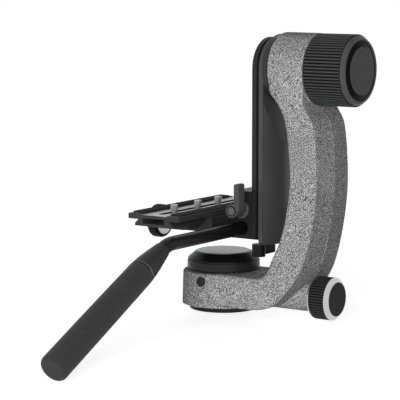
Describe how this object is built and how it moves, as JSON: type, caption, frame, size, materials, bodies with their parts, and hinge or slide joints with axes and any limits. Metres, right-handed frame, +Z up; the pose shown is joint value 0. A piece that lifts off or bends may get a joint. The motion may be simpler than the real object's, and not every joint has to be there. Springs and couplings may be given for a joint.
{
  "type": "gimbal tripod head",
  "caption": "Gimbal head for a tripod: a C-shaped cast arm turns on a round base and carries a swinging rail with a height block, a clamp, a sliding plate and a pan handle.",
  "frame": {"origin": "centre of the base's underside, on the pan axis and at the mouth of the tripod thread", "axes": "+Z up along the pan axis, +X along the tilt axis from the swinging rail towards the tilt knob, +Y the way the lens points; the handle reaches back along -Y"},
  "size_m": [0.1772, 0.3277, 0.2492],
  "materials": {
    "hammertone": "cast, coated in textured grey-and-black hammertone lacquer",
    "anodised_black": "black anodised, satin",
    "satin_black": "black, fine satin",
    "plate_black": "black anodised, satin",
    "tube_black": "black, semi-gloss",
    "bright_silver": "polished",
    "cap_grey": "grey, fine satin",
    "steel": "machined",
    "stud_steel": "bright machined",
    "screw_steel": "black oxide",
    "bearing_steel": "ground",
    "friction_disc": "ground",
    "nylon": "moulded",
    "knob_plastic": "satin",
    "badge_black": "satin",
    "lever_plastic": "moulded, fine grain",
    "grip_rubber": "ribbed",
    "strip_rubber": "ribbed",
    "plug_rubber": "plain",
    "foam_rubber": "fine closed-cell foam"
  },
  "bodies": {
    "base": {"base_ring": "anodised_black", "thread_insert": "steel", "pan_spindle": "steel", "base_screws": "screw_steel", "spindle_nut": "steel"},
    "arm": {"arm_casting": "hammertone", "housing_plug": "plug_rubber", "pan_bearings": "bearing_steel", "pan_brake_shoe": "nylon", "cap_ring": "anodised_black", "cap_cone": "anodised_black", "cap_disc": "cap_grey", "tilt_bearings": "bearing_steel", "tilt_fixed_discs": "friction_disc", "knob_collar": "anodised_black"},
    "pan_knob": {"pan_knob_core": "bright_silver", "pan_knob_grip": "grip_rubber", "pan_knob_face": "knob_plastic", "pan_lock_rod": "steel"},
    "tilt_knob": {"tilt_knob_core": "anodised_black", "tilt_knob_grip": "grip_rubber", "tilt_knob_bezel": "knob_plastic", "tilt_knob_badge": "badge_black"},
    "swing": {"tilt_shaft": "steel", "tilt_turning_discs": "friction_disc", "tilt_shaft_nut": "steel", "hub_disc": "anodised_black", "rail_guide": "anodised_black", "rail_back": "satin_black", "rail_screws": "screw_steel", "end_lever_screw": "screw_steel"},
    "rail_stop": {"end_lever": "anodised_black"},
    "slider": {"slider_block": "anodised_black", "lock_pad": "nylon", "bar_set_screw": "screw_steel", "platform_base": "anodised_black", "platform_screws": "screw_steel", "jaw_guide_pins": "steel"},
    "height_lever": {"lock_lever": "lever_plastic", "lever_shaft": "steel", "lever_cap": "lever_plastic"},
    "jaw": {"moving_jaw": "anodised_black"},
    "jaw_knob": {"jaw_knob_collar": "bright_silver", "jaw_knob_grip": "grip_rubber", "jaw_knob_core": "knob_plastic", "jaw_screw": "steel"},
    "plate": {"quick_plate": "plate_black", "plate_strips": "strip_rubber"},
    "carrier_1": {"carrier_washer_1": "steel"},
    "carrier_2": {"carrier_washer_2": "steel"},
    "carrier_3": {"carrier_washer_3": "steel"},
    "stud_1": {"camera_screw_1": "stud_steel"},
    "stud_2": {"camera_screw_2": "stud_steel"},
    "stud_3": {"camera_screw_3": "stud_steel"},
    "pan_bar": {"bar_tube": "tube_black", "bar_adapter": "lever_plastic", "bar_grip": "foam_rubber", "bar_end_cap": "foam_rubber"}
  },
  "joints": [
    {"name": "pan_turn", "type": "hinge", "parent": "base", "child": "arm", "pos_m": [0, 0, 0.02], "axis": [0, 0, 1], "continuous": true},
    {"name": "pan_knob_turn", "type": "hinge", "parent": "arm", "child": "pan_knob", "pos_m": [0.1, 0, 0.0184], "axis": [1, 0, 0], "range_deg": [0, 360]},
    {"name": "tilt_knob_turn", "type": "hinge", "parent": "arm", "child": "tilt_knob", "pos_m": [0.1, 0, 0.211], "axis": [1, 0, 0], "range_deg": [0, 360]},
    {"name": "tilt", "type": "hinge", "parent": "arm", "child": "swing", "pos_m": [0.08, 0, 0.211], "axis": [1, 0, 0], "range_deg": [-135, 25]},
    {"name": "rail_stop_turn", "type": "hinge", "parent": "swing", "child": "rail_stop", "pos_m": [0.0486, 0, 0.057], "axis": [0, 0, 1], "range_deg": [-45, 15]},
    {"name": "height", "type": "slide", "parent": "swing", "child": "slider", "axis": [0, 0, 1], "range_m": [0, 0.08]},
    {"name": "height_lever_turn", "type": "hinge", "parent": "slider", "child": "height_lever", "pos_m": [0.0381, -0.035, 0.0925], "axis": [0, 1, 0], "range_deg": [0, 70]},
    {"name": "jaw_slide", "type": "slide", "parent": "slider", "child": "jaw", "axis": [-1, 0, 0], "range_m": [0, 0.003]},
    {"name": "jaw_knob_turn", "type": "hinge", "parent": "jaw", "child": "jaw_knob", "pos_m": [-0.035, -0.045, 0.0788], "axis": [-1, 0, 0], "range_deg": [0, 1081]},
    {"name": "plate_slide", "type": "slide", "parent": "slider", "child": "plate", "axis": [0, 1, 0], "range_m": [-0.03, 0.04]},
    {"name": "carrier_1_slide", "type": "slide", "parent": "plate", "child": "carrier_1", "axis": [0, 1, 0], "range_m": [-0.013, 0.008]},
    {"name": "carrier_2_slide", "type": "slide", "parent": "plate", "child": "carrier_2", "axis": [0, 1, 0], "range_m": [-0.008, 0.008]},
    {"name": "carrier_3_slide", "type": "slide", "parent": "plate", "child": "carrier_3", "axis": [0, 1, 0], "range_m": [-0.005, 0.027]},
    {"name": "stud_1_turn", "type": "hinge", "parent": "carrier_1", "child": "stud_1", "pos_m": [0, -0.075, 0.09], "axis": [0, 0, 1], "continuous": true},
    {"name": "stud_2_turn", "type": "hinge", "parent": "carrier_2", "child": "stud_2", "pos_m": [0, -0.04, 0.09], "axis": [0, 0, 1], "continuous": true},
    {"name": "stud_3_turn", "type": "hinge", "parent": "carrier_3", "child": "stud_3", "pos_m": [0, -0.009, 0.09], "axis": [0, 0, 1], "continuous": true},
    {"name": "bar_turn", "type": "hinge", "parent": "slider", "child": "pan_bar", "pos_m": [0.0385, -0.03, 0.0765], "axis": [0, 1, 0], "range_deg": [-100, 100]}
  ],
  "couplings": [
    {"joint": "jaw_knob_turn", "follows": "jaw_slide", "rad_per_m": 6283.2}
  ]
}
